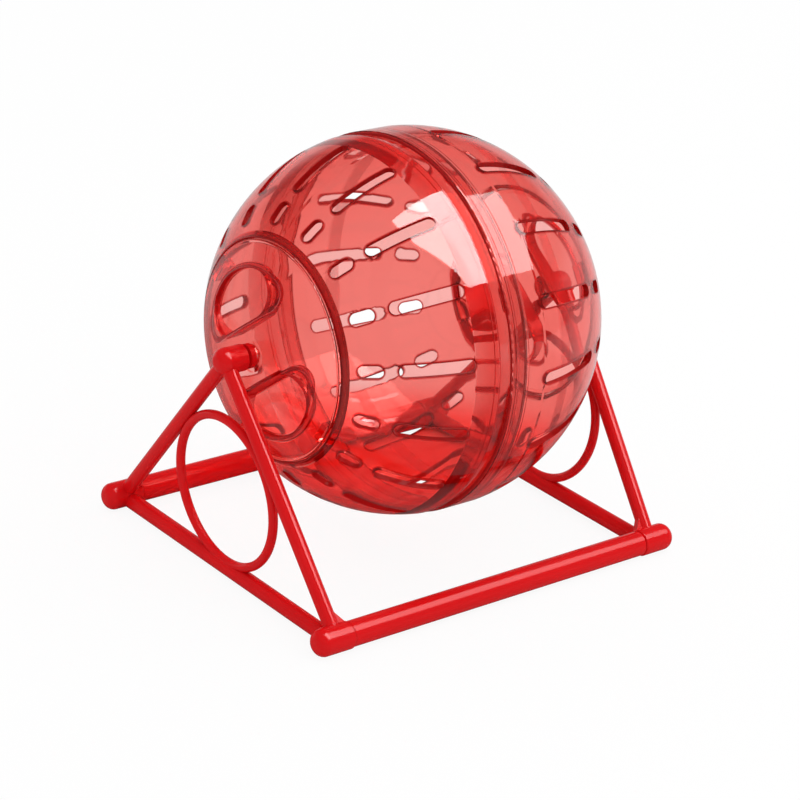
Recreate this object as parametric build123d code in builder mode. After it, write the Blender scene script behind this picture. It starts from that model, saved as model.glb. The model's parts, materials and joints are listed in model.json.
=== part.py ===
import math
import os

from build123d import *

# Ball shell: two domes with a short straight waist between their centres
ball_radius = 70.0
waist_half = 2.4
ball_wall = 2.0

# Joint between the halves, measured along the axle from the middle of the ball
seam_offset = 7.7
land_start = 13.0
land_drop = 0.8
thick_start = 21.2
band_end = 7.5
lap_wall = 1.7
tongue_length = 6.8
tongue_wall = 1.9
rim_round = 0.8

# Lid openings
opening_radius = 39.8
collar_depth = 2.2
ledge_lip = 2.5
ledge_root = 1.0
ledge_thickness = 1.5
opening_round = 0.5

# Air slots in two rows on each half, with gaps measured over the dome and angles in degrees
slot_count = 16
slot_width = 4.6
short_length = 9.1
left_opening_gap = 6.5
left_slot_gap = 5.3
left_rim_gap = 0.9
right_opening_gap = 16.0
right_slot_gap = 5.9
right_rim_gap = 0.15
left_slot_phase = 10.1
right_slot_phase = 1.4

# Lids
lid_wall = 2.0
skirt_wall = 1.6
lid_round = 0.6
hub_inset = 4.0
hub_radius = 6.0
pocket_depth = 6.5
pocket_wall = 1.6
pocket_flat = 11.2
pocket_far = 30.3
pocket_arc_radius = 26.4
pocket_corner_radius = 8.0
pocket_angle = 52.0
pocket_draft_angle = 4.0

# Bayonet, with angles in degrees
hook_wall = 1.6
hook_reach = 1.8
hook_thickness = 1.6
hook_root = 1.6
hook_angle = 12.0
hook_first_angle = 150.0
ledge_angle = 14.0

# Axle and bush
stub_radius = 2.5
stub_past = 1.0
bush_flange_radius = 4.45
bush_flange_thickness = 2.0
bush_sleeve_wall = 1.3
bush_past = 0.4
axle_gap = 1.5

# Stand
apex_boss_radius = 4.8
apex_boss_length = 10.8
apex_round = 3.7
leg_apex_inset = 6.5
leg_radius = 2.7
foot_offset = 73.6
foot_reach = 65.0
foot_drop = 79.6
foot_flat_depth = 0.4
corner_boss_radius = 5.05
corner_boss_length = 14.6
corner_boss_inset = 5.3
corner_round = 3.8
bar_radius = 3.0
bar_drop = 1.46
ring_tube_radius = 1.7
ring_leg_sink = 0.5
ring_bar_sink = 2.64
web_height = 11.5
web_reach = 5.1
web_thickness = 2.6
crossbar_radius = 4.65
spigot_radius = 3.0
spigot_length = 9.0
end_round = 0.6

# Fits
joint_gap = 0.1
seat_gap = 0.3
press_gap = 0.02
running_gap = 0.06
cut_overrun = 1.5


def drop_on_circle(radius, offset):
    return math.sqrt(radius**2 - offset**2)


def angle_on_circle(radius, offset):
    return math.degrees(math.acos(offset / radius))


def angle_over_dome(length):
    return math.degrees(length / ball_radius)


# Middle and length of a slot between two latitudes
def slot_between(upper, lower):
    return (upper + lower) / 2, 2 * ball_radius * math.sin(math.radians(upper - lower) / 2)


# Sizes that follow from the ones above
axle_height = foot_drop + corner_boss_radius - foot_flat_depth
inner_radius = ball_radius - ball_wall
opening_offset = waist_half + drop_on_circle(ball_radius, opening_radius)
ledge_outer = opening_offset - collar_depth
ledge_inner = ledge_outer - ledge_thickness
ledge_radius = opening_radius - ledge_lip
land_end_radius = drop_on_circle(ball_radius, land_start - waist_half) - land_drop
band_radius = drop_on_circle(ball_radius, band_end - waist_half)
socket_radius = band_radius - lap_wall
tongue_radius = socket_radius - joint_gap
tongue_inner = tongue_radius - tongue_wall
tongue_tip = tongue_length - seam_offset
rim_end = seam_offset - joint_gap
socket_end = tongue_tip + seat_gap
opening_turn = angle_on_circle(ball_radius, opening_offset - waist_half)
ledge_turn = angle_on_circle(inner_radius, ledge_inner - waist_half)
slot_pitch = 360 / slot_count
opening_latitude = 90 - opening_turn
rim_latitude = 90 - angle_on_circle(ball_radius, thick_start - waist_half)
band_latitude = 90 - angle_on_circle(ball_radius, band_end - waist_half)
left_short_latitude = opening_latitude - angle_over_dome(left_opening_gap + short_length / 2)
left_long_latitude, left_long_length = slot_between(
    opening_latitude - angle_over_dome(left_opening_gap + short_length + left_slot_gap),
    rim_latitude + angle_over_dome(left_rim_gap),
)
right_short_latitude = opening_latitude - angle_over_dome(right_opening_gap + short_length / 2)
right_long_latitude, right_long_length = slot_between(
    opening_latitude - angle_over_dome(right_opening_gap + short_length + right_slot_gap),
    band_latitude + angle_over_dome(right_rim_gap),
)
longest_slot = max(left_long_length, right_long_length)
slot_sag = ball_radius - drop_on_circle(ball_radius, longest_slot / 2)
slot_cut = ball_wall + slot_sag + cut_overrun

hub_offset = waist_half + ball_radius - hub_inset
skirt_radius = opening_radius - seat_gap
skirt_inner = skirt_radius - skirt_wall
skirt_end = ledge_outer + seat_gap
lid_edge = waist_half + drop_on_circle(ball_radius, skirt_radius)
hub_square = hub_offset**2 + hub_radius**2
edge_square = lid_edge**2 + skirt_radius**2
lid_centre = (hub_square - edge_square) / (2 * (hub_offset - lid_edge))
lid_radius = math.hypot(hub_offset - lid_centre, hub_radius)
lid_inner_radius = lid_radius - lid_wall
pocket_floor = hub_offset - pocket_depth
hook_outer = ledge_radius - seat_gap
hook_inner = hook_outer - hook_wall
hook_tip = hook_outer + hook_reach
hook_top = ledge_inner - seat_gap
hook_bottom = hook_top - hook_thickness
hook_seat = skirt_end + hook_root
hook_turns = (hook_first_angle, hook_first_angle + 180)

stub_end = hub_offset - lid_wall - bush_past - stub_past
bush_bore = stub_radius + running_gap
bush_sleeve_radius = bush_bore + bush_sleeve_wall
bush_end = hub_offset - lid_wall - bush_past
bush_face = hub_offset + bush_flange_thickness
lid_bore = bush_sleeve_radius + press_gap
apex_inner = bush_face + axle_gap
apex_outer = apex_inner + apex_boss_length
apex_offset = apex_inner + leg_apex_inset
foot_height = axle_height - foot_drop
corner_inner = foot_offset - corner_boss_inset
corner_outer = corner_inner + corner_boss_length
bar_height = foot_height - bar_drop
leg_spread_share = foot_reach / math.hypot(foot_reach, foot_drop)
ring_span = foot_drop + bar_drop - bar_radius + ring_bar_sink + leg_radius - ring_leg_sink
ring_drop = ring_span / (1 + leg_spread_share)
ring_radius = ring_drop * leg_spread_share - leg_radius + ring_leg_sink - ring_tube_radius
ring_height = axle_height - ring_drop
lean_share = (apex_offset - foot_offset) / foot_drop
ring_offset = foot_offset + lean_share * (foot_drop - ring_drop)
bar_offset = foot_offset - lean_share * bar_drop
spigot_socket = spigot_radius + press_gap
spigot_depth = spigot_length + seat_gap

axle = Axis((0, 0, axle_height), (1, 0, 0))


# Direction away from the axle at a turn counted from the front towards the top
def away(turn):
    radians = math.radians(turn)
    return Vector(0, -math.cos(radians), math.sin(radians))


# Half plane through the axle, with X along the axle and Y away from it
def axle_section(turn):
    along = Vector(1, 0, 0)
    return Plane((0, 0, axle_height), x_dir=along, z_dir=along.cross(away(turn)))


# Plane that touches a dome where an air slot has its middle
def slot_plane(side, latitude, turn):
    radians = math.radians(latitude)
    outward = Vector(side * math.sin(radians), 0, 0) + away(turn) * math.cos(radians)
    meridian = Vector(side * math.cos(radians), 0, 0) - away(turn) * math.sin(radians)
    middle = Vector(side * waist_half, 0, axle_height) + outward * ball_radius
    return Plane(middle, x_dir=meridian, z_dir=outward)


def slot_row(side, latitude, phase):
    return [slot_plane(side, latitude, phase + slot_pitch * index) for index in range(slot_count)]


# Left half of the ball, with the tongue
with BuildPart() as left_ball_half:
    with BuildSketch(axle_section(90)):
        with BuildLine():
            land_turn = 180 - angle_on_circle(ball_radius, land_start - waist_half)
            thick_turn = 180 - angle_on_circle(inner_radius, thick_start - waist_half)
            dome = CenterArc((-waist_half, 0), ball_radius, land_turn, 180 - opening_turn - land_turn)
            hollow = CenterArc((-waist_half, 0), inner_radius, thick_turn, 180 - ledge_turn - thick_turn)
            Polyline(
                dome @ 0,
                (-seam_offset, land_end_radius),
                (-seam_offset, tongue_radius),
                (tongue_tip, tongue_radius),
                (tongue_tip, tongue_inner),
                hollow @ 0,
            )
            Polyline(
                hollow @ 1,
                (-ledge_inner, opening_radius),
                dome @ 1,
            )
        make_face()
        fillet(vertices().sort_by_distance((-opening_offset, opening_radius))[0], opening_round)
    revolve(axis=axle)
    with BuildSketch(*slot_row(-1, left_long_latitude, left_slot_phase)):
        SlotOverall(left_long_length, slot_width)
    extrude(amount=slot_cut, both=True, mode=Mode.SUBTRACT)
    with BuildSketch(*slot_row(-1, left_short_latitude, left_slot_phase)):
        SlotOverall(short_length, slot_width)
    extrude(amount=slot_cut, both=True, mode=Mode.SUBTRACT)
    # Bayonet ledges inside the opening
    for turn in hook_turns:
        with BuildSketch(axle_section(turn - ledge_angle / 2)):
            with Locations((-ledge_inner, ledge_radius)):
                Rectangle(ledge_thickness, ledge_lip + ledge_root, align=(Align.MAX, Align.MIN))
        revolve(axis=axle, revolution_arc=-ledge_angle)

# Right half of the ball, with the lapping rim
with BuildPart() as right_ball_half:
    with BuildSketch(axle_section(90)):
        with BuildLine():
            band_turn = angle_on_circle(ball_radius, band_end - waist_half)
            inner_turn = angle_on_circle(inner_radius, band_end - waist_half)
            dome = CenterArc((waist_half, 0), ball_radius, opening_turn, band_turn - opening_turn)
            hollow = CenterArc((waist_half, 0), inner_radius, ledge_turn, inner_turn - ledge_turn)
            Polyline(
                dome @ 1,
                (-rim_end, band_radius),
                (-rim_end, socket_radius),
                (socket_end, socket_radius),
                (socket_end, drop_on_circle(inner_radius, band_end - waist_half)),
                hollow @ 1,
            )
            Polyline(
                hollow @ 0,
                (ledge_inner, opening_radius),
                dome @ 0,
            )
        make_face()
        fillet(vertices().sort_by_distance((opening_offset, opening_radius))[0], opening_round)
        fillet(vertices().sort_by_distance((-rim_end, band_radius))[0], rim_round)
    revolve(axis=axle)
    with BuildSketch(*slot_row(1, right_long_latitude, right_slot_phase)):
        SlotOverall(right_long_length, slot_width)
    extrude(amount=slot_cut, both=True, mode=Mode.SUBTRACT)
    with BuildSketch(*slot_row(1, right_short_latitude, right_slot_phase)):
        SlotOverall(short_length, slot_width)
    extrude(amount=slot_cut, both=True, mode=Mode.SUBTRACT)
    # Bayonet ledges, for the lid turned half round the upright axis
    for turn in hook_turns:
        with BuildSketch(axle_section(180 - turn - ledge_angle / 2)):
            with Locations((ledge_inner, ledge_radius)):
                Rectangle(ledge_thickness, ledge_lip + ledge_root, align=(Align.MIN, Align.MIN))
        revolve(axis=axle, revolution_arc=-ledge_angle)

# Left lid
pocket_radians = math.radians(pocket_angle)
pocket_along = Vector(0, -math.sin(pocket_radians), math.cos(pocket_radians))
pocket_plane = Plane((-pocket_floor, 0, axle_height), x_dir=pocket_along, z_dir=(-1, 0, 0))


# One D-shaped outline on each side of the axle
def pocket_outlines(grow):
    with Locations((0, pocket_far - pocket_arc_radius)):
        Circle(pocket_arc_radius)
    with Locations((0, pocket_flat)):
        Rectangle(pocket_far * 2, pocket_far * 2, align=(Align.CENTER, Align.MAX), mode=Mode.SUBTRACT)
    fillet(vertices(), pocket_corner_radius)
    if grow > 0:
        offset(amount=grow)
    mirror(about=Plane.XZ)


with BuildPart() as left_lid:
    # Pocket blocks, cut to the dome
    with BuildSketch(pocket_plane.offset(-pocket_wall)):
        pocket_outlines(pocket_wall)
    extrude(amount=pocket_wall + pocket_depth + cut_overrun, taper=-pocket_draft_angle)
    with BuildSketch(axle_section(90)):
        with BuildLine():
            edge_turn = 180 - math.degrees(math.atan2(skirt_radius, lid_edge - lid_centre))
            cap = CenterArc((-lid_centre, 0), lid_radius, edge_turn, 180 - edge_turn)
            Polyline(cap @ 1, (-skirt_end, 0), (-skirt_end, skirt_radius), cap @ 0)
        make_face()
    revolve(axis=axle, mode=Mode.INTERSECT)
    # Domed cover, flat hub and skirt
    with BuildSketch(axle_section(90)):
        with BuildLine():
            hub_turn = 180 - math.degrees(math.atan2(hub_radius, hub_offset - lid_centre))
            under_turn = 180 - math.degrees(math.asin(hub_radius / lid_inner_radius))
            skirt_turn = 180 - math.degrees(math.asin(skirt_inner / lid_inner_radius))
            cover = CenterArc((-lid_centre, 0), lid_radius, edge_turn, hub_turn - edge_turn)
            under = CenterArc((-lid_centre, 0), lid_inner_radius, skirt_turn, under_turn - skirt_turn)
            Polyline(
                cover @ 1,
                (-hub_offset, lid_bore),
                (-(hub_offset - lid_wall), lid_bore),
                under @ 1,
            )
            Polyline(
                under @ 0,
                (-skirt_end, skirt_inner),
                (-skirt_end, skirt_radius),
                cover @ 0,
            )
        make_face()
        fillet(vertices().sort_by_distance((-lid_edge, skirt_radius))[0], lid_round)
    revolve(axis=axle)
    # Finger pockets
    with BuildSketch(pocket_plane):
        pocket_outlines(0)
    extrude(amount=pocket_depth + cut_overrun, taper=-pocket_draft_angle, mode=Mode.SUBTRACT)
    # Bayonet hooks under the skirt
    for turn in hook_turns:
        with BuildSketch(axle_section(turn - hook_angle / 2)):
            with BuildLine():
                Polyline(
                    (-hook_seat, skirt_inner + skirt_wall / 2),
                    (-skirt_end, skirt_inner + skirt_wall / 2),
                    (-skirt_end, hook_outer),
                    (-hook_top, hook_outer),
                    (-hook_top, hook_tip),
                    (-hook_bottom, hook_tip),
                    (-hook_bottom, hook_inner),
                    (-hook_seat, hook_inner),
                    close=True,
                )
            make_face()
        revolve(axis=axle, revolution_arc=-hook_angle)

# Right lid: the same moulding turned half round the upright axis
with BuildPart() as right_lid:
    add(left_lid.part, rotation=(0, 0, 180))

# Left axle bush
with BuildPart() as left_axle_bush:
    with BuildSketch(axle_section(90)):
        with BuildLine():
            Polyline(
                (-bush_face, bush_bore),
                (-bush_face, bush_flange_radius),
                (-hub_offset, bush_flange_radius),
                (-hub_offset, bush_sleeve_radius),
                (-bush_end, bush_sleeve_radius),
                (-bush_end, bush_bore),
                close=True,
            )
        make_face()
    revolve(axis=axle)

# Right axle bush
with BuildPart() as right_axle_bush:
    mirror(left_axle_bush.part, about=Plane.YZ)

# Left side frame
apex = Vector(-apex_offset, 0, axle_height)
with BuildPart() as left_side_frame:
    with BuildSketch(Plane.YZ.offset(-corner_outer)):
        with Locations((foot_reach, foot_height), (-foot_reach, foot_height)):
            Circle(corner_boss_radius)
    extrude(amount=corner_boss_length)
    fillet(edges().group_by(Axis.X)[0], corner_round)
    fillet(edges().group_by(Axis.X)[-1], end_round)
    with BuildSketch(Plane.YZ.offset(-apex_outer)):
        with Locations((0, axle_height)):
            Circle(apex_boss_radius)
    extrude(amount=apex_boss_length)
    fillet(edges(Select.LAST).group_by(Axis.X)[0], apex_round)
    with BuildSketch(Plane.YZ.offset(-apex_inner)):
        with Locations((0, axle_height)):
            Circle(stub_radius)
    extrude(amount=apex_inner - stub_end)
    # Legs and corner webs
    for side in (-1, 1):
        foot = Vector(-foot_offset, side * foot_reach, foot_height)
        leg = apex - foot
        with BuildSketch(Plane(foot, z_dir=leg)):
            Circle(leg_radius)
        extrude(amount=leg.length)
        across = Vector(1, 0, 0)
        with BuildSketch(Plane(foot, x_dir=across, z_dir=across.cross(leg))):
            with BuildLine():
                Polyline(
                    (0, 0),
                    (web_reach, 0),
                    (web_reach, corner_boss_radius - end_round),
                    (0, web_height),
                    close=True,
                )
            make_face()
        extrude(amount=web_thickness / 2, both=True)
    # Bottom bar and ring
    with BuildSketch(Plane.XZ.offset(-foot_reach)):
        with Locations((-bar_offset, bar_height)):
            Circle(bar_radius)
    extrude(amount=foot_reach * 2)
    lean = Vector(1, 0, lean_share)
    with Locations(Plane((-ring_offset, 0, ring_height), x_dir=(0, 1, 0), z_dir=lean)):
        Torus(ring_radius, ring_tube_radius)
    # Crossbar sockets and flat feet
    with BuildSketch(Plane.YZ.offset(-corner_inner)):
        with Locations((foot_reach, foot_height), (-foot_reach, foot_height)):
            Circle(spigot_socket)
    extrude(amount=-spigot_depth, mode=Mode.SUBTRACT)
    split(bisect_by=Plane.XY, keep=Keep.TOP)

# Right side frame
with BuildPart() as right_side_frame:
    mirror(left_side_frame.part, about=Plane.YZ)

# Front crossbar
with BuildPart() as front_crossbar:
    with BuildSketch(Plane.YZ.offset(-corner_inner)):
        with Locations((-foot_reach, foot_height)):
            Circle(crossbar_radius)
    extrude(amount=corner_inner * 2)
    fillet(edges().filter_by(GeomType.CIRCLE), end_round)
    with BuildSketch(Plane.YZ.offset(-corner_inner - spigot_length)):
        with Locations((-foot_reach, foot_height)):
            Circle(spigot_radius)
    extrude(amount=(corner_inner + spigot_length) * 2)

# Rear crossbar
with BuildPart() as rear_crossbar:
    mirror(front_crossbar.part, about=Plane.XZ)

# Export
os.makedirs("parts", exist_ok=True)
left_ball_half.part.label = "left_ball_half"
export_step(left_ball_half.part, "parts/left_ball_half.step")
right_ball_half.part.label = "right_ball_half"
export_step(right_ball_half.part, "parts/right_ball_half.step")
left_lid.part.label = "left_lid"
export_step(left_lid.part, "parts/left_lid.step")
right_lid.part.label = "right_lid"
export_step(right_lid.part, "parts/right_lid.step")
left_axle_bush.part.label = "left_axle_bush"
export_step(left_axle_bush.part, "parts/left_axle_bush.step")
right_axle_bush.part.label = "right_axle_bush"
export_step(right_axle_bush.part, "parts/right_axle_bush.step")
left_side_frame.part.label = "left_side_frame"
export_step(left_side_frame.part, "parts/left_side_frame.step")
right_side_frame.part.label = "right_side_frame"
export_step(right_side_frame.part, "parts/right_side_frame.step")
front_crossbar.part.label = "front_crossbar"
export_step(front_crossbar.part, "parts/front_crossbar.step")
rear_crossbar.part.label = "rear_crossbar"
export_step(rear_crossbar.part, "parts/rear_crossbar.step")
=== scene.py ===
import json
import math

import bpy
from mathutils import Matrix, Vector

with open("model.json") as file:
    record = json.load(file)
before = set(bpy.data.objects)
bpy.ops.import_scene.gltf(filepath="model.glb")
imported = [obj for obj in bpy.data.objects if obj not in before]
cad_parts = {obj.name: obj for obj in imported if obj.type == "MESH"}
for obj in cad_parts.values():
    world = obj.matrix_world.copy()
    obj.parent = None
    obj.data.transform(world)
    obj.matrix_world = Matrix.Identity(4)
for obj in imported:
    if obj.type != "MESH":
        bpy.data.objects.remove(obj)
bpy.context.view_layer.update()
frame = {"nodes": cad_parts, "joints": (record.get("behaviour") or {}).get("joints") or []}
axleHeight = frame["joints"][0]["pos_m"][2]
ballMiddle = Vector((0.0, 0.0, axleHeight))
white = (1.0, 1.0, 1.0, 1.0)
print("frame loaded,", len(frame["nodes"]), "nodes")


# Shader maths: a socket that adds, subtracts and multiplies like a number
class Sock:
    def __init__(self, tree, socket):
        self.tree = tree
        self.socket = socket

    def maths(self, operation, *values):
        return node(self.tree, "ShaderNodeMath", {"operation": operation}, dict(enumerate((self,) + values)))

    def __add__(self, other):
        return self.maths("ADD", other)

    def __sub__(self, other):
        return self.maths("SUBTRACT", other)

    def __mul__(self, other):
        return self.maths("MULTIPLY", other)

    def __rsub__(self, other):
        return node(self.tree, "ShaderNodeMath", {"operation": "SUBTRACT"}, {0: other, 1: self})

    __radd__ = __add__
    __rmul__ = __mul__


# Any node, with its settings and inputs, as a Sock on its chosen output
def node(tree, kind, settings=None, inputs=None, output=0):
    made = tree.nodes.new(kind)
    for key, value in (settings or {}).items():
        setattr(made, key, value)
    for key, value in (inputs or {}).items():
        if isinstance(value, Sock):
            tree.links.new(value.socket, made.inputs[key])
        else:
            made.inputs[key].default_value = value
    return Sock(tree, made.outputs[output]) if made.outputs else None


def newMaterial(name):
    material = bpy.data.materials.new(name)
    material.use_nodes = True
    material.node_tree.nodes.clear()
    return material, material.node_tree


# A share of 0 to 1 spread evenly from low to high
def ramp(tree, share, low, high):
    return node(tree, "ShaderNodeMapRange", None, {"Value": share, "To Min": low, "To Max": high})


# A value that goes smoothly from low at start to high at end
def blend(tree, value, start, end, low, high):
    span = {"Value": value, "From Min": start, "From Max": end, "To Min": low, "To Max": high}
    return node(tree, "ShaderNodeMapRange", {"interpolation_type": "SMOOTHSTEP"}, span)


def hypot(first, second):
    return (first * first + second * second).maths("SQRT")


def least(values):
    lowest = values[0]
    for value in values[1:]:
        lowest = lowest.maths("MINIMUM", value)
    return lowest


def vectorMaths(tree, operation, *vectors, output=0):
    return node(tree, "ShaderNodeVectorMath", {"operation": operation}, dict(enumerate(vectors)), output)


def dotProduct(tree, first, second):
    return vectorMaths(tree, "DOT_PRODUCT", first, second, output="Value")


# A Mix node has its colours in sockets 6 and 7, and gives the mixed one from output 2
def mixColour(tree, share, first, second):
    return node(tree, "ShaderNodeMix", {"data_type": "RGBA"}, {0: share, 6: first, 7: second}, output=2)


def mixShader(tree, share, first, second):
    return node(tree, "ShaderNodeMixShader", None, {0: share, 1: first, 2: second})


def lightPath(tree, kind):
    return node(tree, "ShaderNodeLightPath", output=kind)


def noise(tree, place, scale, detail):
    return node(tree, "ShaderNodeTexNoise", None, {"Vector": place, "Scale": scale, "Detail": detail})


# Place on a piece, counted from the middle of the axle
def axleCoordinates(tree, place):
    split = node(tree, "ShaderNodeSeparateXYZ", None, {0: place}).socket.node
    x, y, z = (Sock(tree, output) for output in split.outputs)
    return x, y, z - axleHeight


# Marks of a ball half: painted shade tint of slot rims, lid seat and grooves; painted colour and zone of its
# moulded edges; grooves; opaque painted shade share inside its collar
def ballMarks(tree, place, half):
    look = {
        "waist": 0.0024,  # from the middle of the ball to the middle of the half's dome
        "pitch": math.radians(22.5),
        "width": 0.0046,
        "slotRim": (0.0002, 0.0008),
        "slotRimPaintedShade": (0.5, 0.04, 0.04, 1.0),
        "seat": (0.0407, 0.0411),
        "seatPaintedShade": (0.45, 0.02, 0.025, 1.0),
        "slotEdgePaintedShade": (0.33, 0.004, 0.004, 1.0),
        "seamEdgePaintedShade": (0.42, 0.015, 0.015, 1.0),
        "seam": (0.0216, 0.0226),
        "ledge": (0.0383, 0.0387),
        "collar": (0.0206, 0.0212),
        "collarReach": (0.0664, 0.0668),
        "collarPaintedShare": 0.35,
        "line": (0.00008, 0.00028),
        "groovePaintedShade": (0.6, 0.12, 0.12, 1.0),
    }
    x, y, z = axleCoordinates(tree, place)
    fromSeam = x.maths("ABSOLUTE")
    axial = fromSeam - look["waist"]
    reach = hypot(y, z)
    turn = z.maths("ARCTAN2", 0.0 - y) - math.radians(half["phase"])
    turn = turn.maths("WRAP", look["pitch"] / 2, -look["pitch"] / 2)
    forward = reach * turn.maths("COSINE")
    sideways = reach * turn.maths("SINE")
    slotGaps = []
    for latitude, length in half["rows"]:
        tilt = math.radians(latitude)
        along = axial * math.cos(tilt) - forward * math.sin(tilt)
        over = (along.maths("ABSOLUTE") - (length - look["width"]) / 2).maths("MAXIMUM", 0.0)
        slotGaps.append(hypot(over, sideways) - look["width"] / 2)
    # Painted shade: a darker red line is painted round each slot's rim
    rim = blend(tree, least(slotGaps), *look["slotRim"], 1.0, 0.0)
    # Painted shade: a dark red band is painted round the lid opening, inside the seat radius
    seat = blend(tree, reach, *look["seat"], 1.0, 0.0)
    # Painted shade: the fine grooves are bumped in and also painted darker red
    lineGaps = [(x - offset).maths("ABSOLUTE") for offset in half["lines"]]
    lines = blend(tree, least(lineGaps), *look["line"], 1.0, 0.0)
    paintedShadeTint = mixColour(tree, rim, white, look["slotRimPaintedShade"])
    paintedShadeTint = mixColour(tree, seat, paintedShadeTint, look["seatPaintedShade"])
    paintedShadeTint = mixColour(tree, lines, paintedShadeTint, look["groovePaintedShade"])
    # Painted shade: moulded edges at the seam and the slots get a dark red colour, and the collar an opaque
    # share of it
    beyondSeam = blend(tree, fromSeam, *look["seam"], 0.0, 1.0)
    paintedEdgeColour = mixColour(tree, beyondSeam, look["seamEdgePaintedShade"], look["slotEdgePaintedShade"])
    paintedEdgeZone = blend(tree, reach, *look["ledge"], 0.0, 1.0)
    collar = blend(tree, fromSeam, *look["collar"], look["collarPaintedShare"], 0.0)
    collar = collar * blend(tree, reach, *look["collarReach"], 1.0, 0.0)
    return paintedShadeTint, paintedEdgeColour, paintedEdgeZone, lines, collar


# Marks of a lid with its two finger pockets, in the same order: painted shade at the pocket rims, painted
# light on the pocket walls, their zone, the rim groove, no opaque share
def lidMarks(tree, place, lid):
    look = {
        "turn": math.radians(52.0),
        "arc": 0.0264,
        "arcMiddle": 0.0039,
        "flat": 0.0112,
        "corner": 0.008,
        "draft": 0.0003,
        "pocketRim": (0.0006, 0.001),
        "pocketRimPaintedShade": (0.42, 0.03, 0.035, 1.0),
        "pocketWallPaintedLight": (0.8, 0.012, 0.015, 1.0),
        "skirt": (0.0345, 0.0355),
        "wallShare": 0.55,
        "solid": 0.0,
    }
    _, y, z = axleCoordinates(tree, place)
    y = y * lid["flip"]
    along = z * math.cos(look["turn"]) - y * math.sin(look["turn"])
    away = (y * math.cos(look["turn"]) + z * math.sin(look["turn"])).maths("ABSOLUTE")
    pastArc = hypot(along, away - look["arcMiddle"]) - (look["arc"] - look["corner"])
    pastFlat = (look["flat"] + look["corner"]) - away
    inside = pastArc.maths("MAXIMUM", pastFlat).maths("MINIMUM", 0.0)
    outside = hypot(pastArc.maths("MAXIMUM", 0.0), pastFlat.maths("MAXIMUM", 0.0))
    gap = (inside + outside - (look["corner"] + look["draft"])).maths("ABSOLUTE")
    # Painted shade: a darker red line is painted round each pocket's rim
    rim = blend(tree, gap, *look["pocketRim"], 1.0, 0.0)
    paintedShadeTint = mixColour(tree, rim, white, look["pocketRimPaintedShade"])
    # Painted light: sideways faces inside the skirt, the pocket walls, take an opaque bright red
    wall = blend(tree, hypot(y, z), *look["skirt"], look["wallShare"], 0.0)
    return paintedShadeTint, look["pocketWallPaintedLight"], wall, rim, look["solid"]


# Clear red plastic: the red is taken up inside the wall, so edges and steep views go darker; its marks add
# painted shade to the colour and an opaque painted edge share
def clearRedMaterial(name, marksOf, piece):
    look = {
        "absorbColour": (0.95, 0.1023, 0.0227, 1.0),
        "absorbDensity": 440.0,
        "ior": 1.5,
        "smooth": 0.005,
        "hazy": 0.05,
        "hazeScale": 234.0,
        "hazeDetail": 4.0,
        "flowScale": 26.0,
        "flowDetail": 2.0,
        "flowBump": 0.05,
        "flowDistance": 0.0006,
        "grooveBump": 0.5,
        "grooveDepth": 0.0003,
        "edgeRough": 0.35,
        "edgeShine": 0.1,
        "edgeShare": 0.85,
        "edgeTurn": (0.6, 0.85),
        "lampPass": (0.92, 0.92, 0.92, 1.0),
    }
    material, tree = newMaterial(name)
    place = node(tree, "ShaderNodeTexCoord", output="Object")
    paintedShadeTint, paintedEdgeColour, paintedEdgeZone, groove, solid = marksOf(tree, place, piece)
    flow = noise(tree, place, look["flowScale"], look["flowDetail"])
    haze = noise(tree, place, look["hazeScale"], look["hazeDetail"])
    bump = node(
        tree,
        "ShaderNodeBump",
        None,
        {"Height": flow, "Strength": look["flowBump"], "Distance": look["flowDistance"]},
    )
    bump = node(
        tree,
        "ShaderNodeBump",
        {"invert": True},
        {"Height": groove, "Strength": look["grooveBump"], "Distance": look["grooveDepth"], "Normal": bump},
    )
    surface = node(
        tree,
        "ShaderNodeBsdfPrincipled",
        None,
        {
            "Base Color": paintedShadeTint,
            "Roughness": ramp(tree, haze, look["smooth"], look["hazy"]),
            "IOR": look["ior"],
            "Transmission Weight": 1.0,
            "Normal": bump,
        },
    )
    # Moulded edges across the wall are rougher and take an opaque red share: painted shade at slot and seam
    # edges, painted light on the pocket walls
    outward = vectorMaths(tree, "NORMALIZE", vectorMaths(tree, "SUBTRACT", place, ballMiddle))
    facing = dotProduct(tree, outward, node(tree, "ShaderNodeTexCoord", output="Normal"))
    paintedEdgeShare = blend(tree, facing.maths("ABSOLUTE"), *look["edgeTurn"], look["edgeShare"], 0.0) * paintedEdgeZone
    paintedEdgeShare = paintedEdgeShare.maths("MAXIMUM", solid)
    # Painted shade and painted light: an opaque, rougher red surface with the painted edge colour
    rim = node(
        tree,
        "ShaderNodeBsdfPrincipled",
        None,
        {
            "Base Color": paintedEdgeColour,
            "Roughness": look["edgeRough"],
            "IOR": look["ior"],
            "Specular IOR Level": look["edgeShine"],
            "Normal": bump,
        },
    )
    # Lamps shine through the walls and leave a red shadow
    passing = node(tree, "ShaderNodeBsdfTransparent", None, {"Color": look["lampPass"]})
    mixed = mixShader(tree, lightPath(tree, "Is Shadow Ray"), mixShader(tree, paintedEdgeShare, surface, rim), passing)
    volume = node(
        tree,
        "ShaderNodeVolumeAbsorption",
        None,
        {"Color": look["absorbColour"], "Density": look["absorbDensity"]},
    )
    node(tree, "ShaderNodeOutputMaterial", None, {"Surface": mixed, "Volume": volume})
    return material


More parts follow.
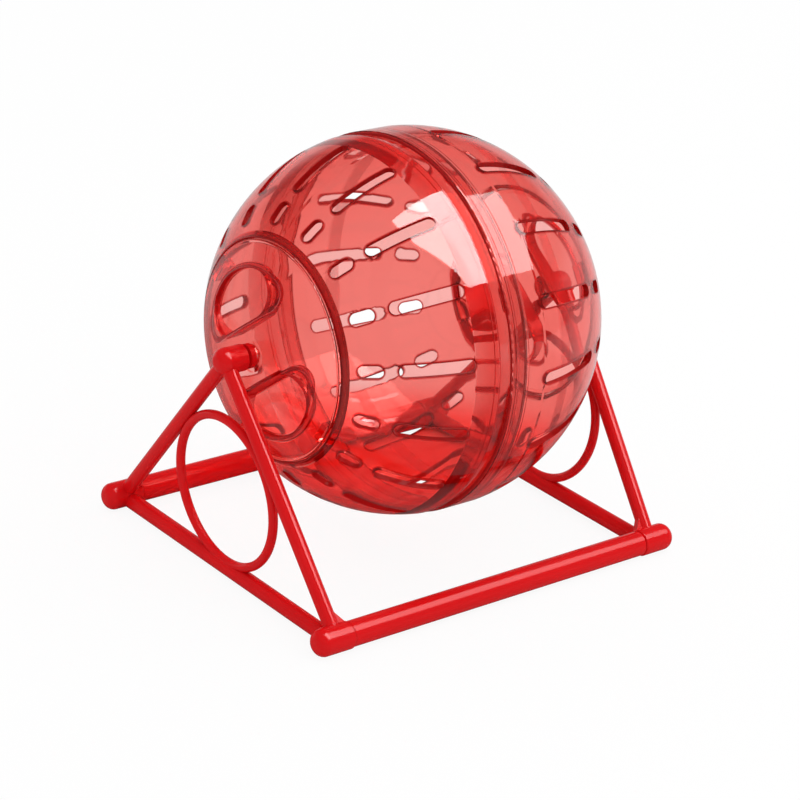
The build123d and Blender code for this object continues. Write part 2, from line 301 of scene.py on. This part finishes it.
# Solid red plastic of the stand and the bushes
def solidRedMaterial():
    look = {
        "deep": (0.58, 0.004, 0.006, 1.0),
        "bright": (0.66, 0.006, 0.008, 1.0),
        "ior": 1.5,
        "shine": 0.25,
        "smooth": 0.12,
        "worn": 0.2,
        "patchScale": 40.0,
        "patchDetail": 3.0,
        "grainScale": 900.0,
        "grainDetail": 2.0,
        "grainBump": 0.04,
        "grainDistance": 0.0002,
    }
    material, tree = newMaterial("solidRedPlastic")
    place = node(tree, "ShaderNodeTexCoord", output="Object")
    patch = noise(tree, place, look["patchScale"], look["patchDetail"])
    grain = noise(tree, place, look["grainScale"], look["grainDetail"])
    bump = node(
        tree,
        "ShaderNodeBump",
        None,
        {"Height": grain, "Strength": look["grainBump"], "Distance": look["grainDistance"]},
    )
    surface = node(
        tree,
        "ShaderNodeBsdfPrincipled",
        None,
        {
            "Base Color": mixColour(tree, patch, look["deep"], look["bright"]),
            "Roughness": ramp(tree, patch, look["smooth"], look["worn"]),
            "IOR": look["ior"],
            "Specular IOR Level": look["shine"],
            "Normal": bump,
        },
    )
    node(tree, "ShaderNodeOutputMaterial", None, {"Surface": surface})
    return material


# Slots: angle round the axle, and latitude from the seam with length for each row; lines: x of fine grooves
ballHalves = {
    "left_ball_half": {
        "phase": 10.1,
        "rows": ((27.28, 0.02663), (46.3, 0.0091)),
        "lines": (-0.0131,),
    },
    "right_ball_half": {
        "phase": 1.4,
        "rows": ((17.14, 0.03111), (38.53, 0.0091)),
        "lines": (-0.0052, -0.0006),
    },
}
lids = {"left_lid": {"flip": 1.0}, "right_lid": {"flip": -1.0}}
solidRed = solidRedMaterial()
looks = {name: clearRedMaterial("clearRed_" + name, ballMarks, half) for name, half in ballHalves.items()}
looks.update({name: clearRedMaterial("clearRed_" + name, lidMarks, lid) for name, lid in lids.items()})
for name, piece in frame["nodes"].items():
    piece.data.materials.clear()
    piece.data.materials.append(looks.get(name, solidRed))
print("materials set")


def addToScene(name, data):
    made = bpy.data.objects.new(name, data)
    bpy.context.scene.collection.objects.link(made)
    return made


# Floor, white to the camera with a soft shadow; to rays that pass the plastic it has a painted red shadow
# near the ball, and in reflections painted shade and a painted reflection
def floorMaterial():
    look = {
        "plain": 0.8,
        "through": 0.83,
        "mirrored": (0.25, 0.6),
        "mirroredSpan": (0.06, 0.18),
        "mirroredSide": (0.8, 0.6, 0.0),
        "glow": 0.92,
        "paintedRedShadow": (0.9, 0.13, 0.11, 1.0),
        "paintedShadowSpan": (0.095, 0.14),
    }
    material, tree = newMaterial("floorWhite")
    place = node(tree, "ShaderNodeTexCoord", output="Object")
    through = lightPath(tree, "Is Transmission Ray")
    mirror = lightPath(tree, "Is Glossy Ray") * (1.0 - through)
    # Painted shade and painted reflection: seen in reflections the floor is darker under and in front of the
    # ball and brighter behind it
    side = dotProduct(tree, place, look["mirroredSide"])
    mirrored = blend(tree, side, *look["mirroredSpan"], *look["mirrored"])
    level = look["plain"] + through * (look["through"] - look["plain"]) + mirror * (mirrored - look["plain"])
    spread = vectorMaths(tree, "LENGTH", place, output="Value")
    # Painted shadow: to rays through the plastic the floor is painted red near the ball
    paintedShadowMask = blend(tree, spread, *look["paintedShadowSpan"], 1.0, 0.0)
    colour = mixColour(tree, paintedShadowMask * through, level, look["paintedRedShadow"])
    lit = node(tree, "ShaderNodeBsdfDiffuse", None, {"Color": colour})
    glow = node(tree, "ShaderNodeEmission", None, {"Color": white, "Strength": 1.0})
    surface = mixShader(tree, lightPath(tree, "Is Camera Ray") * look["glow"], lit, glow)
    node(tree, "ShaderNodeOutputMaterial", None, {"Surface": surface})
    return material


def makeFloor():
    place = {"half": 1.6, "drop": 0.0004}
    half, drop = place["half"], place["drop"]
    mesh = bpy.data.meshes.new("floor")
    corners = [(-half, -half, -drop), (half, -half, -drop), (half, half, -drop), (-half, half, -drop)]
    mesh.from_pydata(corners, [], [(0, 1, 2, 3)])
    mesh.materials.append(floorMaterial())
    floor = addToScene("floor", mesh)


# World of even white light, darker in reflections apart from a low backdrop on one side
def makeWorld():
    look = {
        "ambient": 1.0,
        "mirrored": (0.12, 0.6),
        "mirroredSide": (0.65, 0.76, 0.0),
        "mirroredSpan": (0.0, 0.5),
        "backdropTop": (0.1, 0.3),
    }
    world = bpy.data.worlds.new("studio")
    world.use_nodes = True
    tree = world.node_tree
    tree.nodes.clear()
    mirror = lightPath(tree, "Is Glossy Ray") * (1.0 - lightPath(tree, "Is Transmission Ray"))
    place = node(tree, "ShaderNodeTexCoord", output="Generated")
    side = dotProduct(tree, place, look["mirroredSide"])
    rise = node(tree, "ShaderNodeSeparateXYZ", None, {0: place}, output="Z")
    backdrop = blend(tree, side, *look["mirroredSpan"], 0.0, 1.0)
    backdrop = backdrop * blend(tree, rise, *look["backdropTop"], 1.0, 0.0)
    low, high = look["mirrored"]
    strength = look["ambient"] + mirror * (low - look["ambient"] + backdrop * (high - low))
    sky = node(tree, "ShaderNodeBackground", None, {"Color": white, "Strength": strength})
    node(tree, "ShaderNodeOutputWorld", None, {"Surface": sky})
    bpy.context.scene.world = world


# Right, up and outward axes of what faces the ball from an azimuth and an elevation, rolled a little
def facingAxes(place):
    turn, rise, roll = (math.radians(place[angle]) for angle in ("azimuth", "elevation", "roll"))
    outward = Vector((math.sin(turn) * math.cos(rise), -math.cos(turn) * math.cos(rise), math.sin(rise)))
    level = Vector((math.cos(turn), math.sin(turn), 0))
    right = level * math.cos(roll) + outward.cross(level) * math.sin(roll)
    return right, outward.cross(right), outward


def placeMatrix(axes, spot):
    return Matrix.Translation(spot) @ Matrix(axes).transposed().to_4x4()


# A lamp, and a bright card in its place that only reflections and rays through the plastic see
def makeSoftbox():
    place = {
        "azimuth": 23.7,
        "elevation": 67.1,
        "roll": -12.7,
        "reach": 1.0,
        "offset": (0.304, -0.098),
        "wide": 1.01,
        "high": 0.98,
        "lampRadiance": 1.4,
        "cardRadiance": (10.0, 13.5, 5.6),  # at its left, middle and right
        "cardSteps": ((-0.08, 0.0), (0.22, 0.45)),
        "cardCorners": (
            (-0.33, 0.4),
            (-0.35, 0.05),
            (-0.27, -0.15),
            (-0.08, -0.62),
            (0.8, -0.6),
            (0.81, -0.08),
            (0.64, 0.27),
            (0.45, 0.39),
        ),
    }
    reach = place["reach"]
    across, along, outward = facingAxes(place)
    hub = ballMiddle + outward * reach
    sideways, upwards = place["offset"]
    centre = hub + (across * sideways + along * upwards) * reach
    lamp = bpy.data.lights.new("softbox", "AREA")
    lamp.shape = "RECTANGLE"
    lamp.size = place["wide"] * reach
    lamp.size_y = place["high"] * reach
    lamp.energy = place["lampRadiance"] * math.pi * lamp.size * lamp.size_y
    box = addToScene("softbox", lamp)
    box.matrix_world = placeMatrix((across, along, outward), centre)
    box.visible_glossy = False
    box.visible_transmission = False
    mesh = bpy.data.meshes.new("softboxFace")
    corners = [hub + (across * i + along * j) * reach for i, j in place["cardCorners"]]
    mesh.from_pydata(corners, [], [tuple(range(len(corners)))])
    material, tree = newMaterial("softboxGlow")
    spot = vectorMaths(tree, "SUBTRACT", node(tree, "ShaderNodeTexCoord", output="Object"), hub)
    side = dotProduct(tree, spot, across / reach)
    left, middle, right = place["cardRadiance"]
    first, second = place["cardSteps"]
    radiance = blend(tree, side, *first, left, middle) + blend(tree, side, *second, 0.0, right - middle)
    glow = node(tree, "ShaderNodeEmission", None, {"Color": radiance})
    node(tree, "ShaderNodeOutputMaterial", None, {"Surface": glow})
    material.cycles.emission_sampling = "NONE"
    mesh.materials.append(material)
    face = addToScene("softboxFace", mesh)
    face.visible_camera = False
    face.visible_diffuse = False
    face.visible_shadow = False


makeFloor()
makeWorld()
makeSoftbox()
print("stage and lights set")


# Camera at the photograph's viewing angle, aimed at a spot counted from the ball's middle
def makeCamera():
    place = {
        "azimuth": -40.5,
        "elevation": 23.84,
        "roll": 4.72,
        "distance": 1.0116,
        "lens": 125.7,
        "aim": (-0.0066, -0.0098, -0.0266),
    }
    right, up, back = facingAxes(place)
    spot = ballMiddle + Vector(place["aim"]) + back * place["distance"]
    lens = bpy.data.cameras.new("photoCamera")
    lens.lens = place["lens"]
    camera = addToScene("photoCamera", lens)
    camera.matrix_world = placeMatrix((right, up, back), spot)
    bpy.context.scene.camera = camera


# Light crosses many walls before it leaves the ball
def setRendering():
    scene = bpy.context.scene
    scene.view_settings.view_transform = "Standard"
    bounces = {
        "max_bounces": 40,
        "transmission_bounces": 40,
        "glossy_bounces": 24,
        "transparent_max_bounces": 40,
    }
    for setting, count in bounces.items():
        setattr(scene.cycles, setting, count)


makeCamera()
setRendering()
print("camera set")
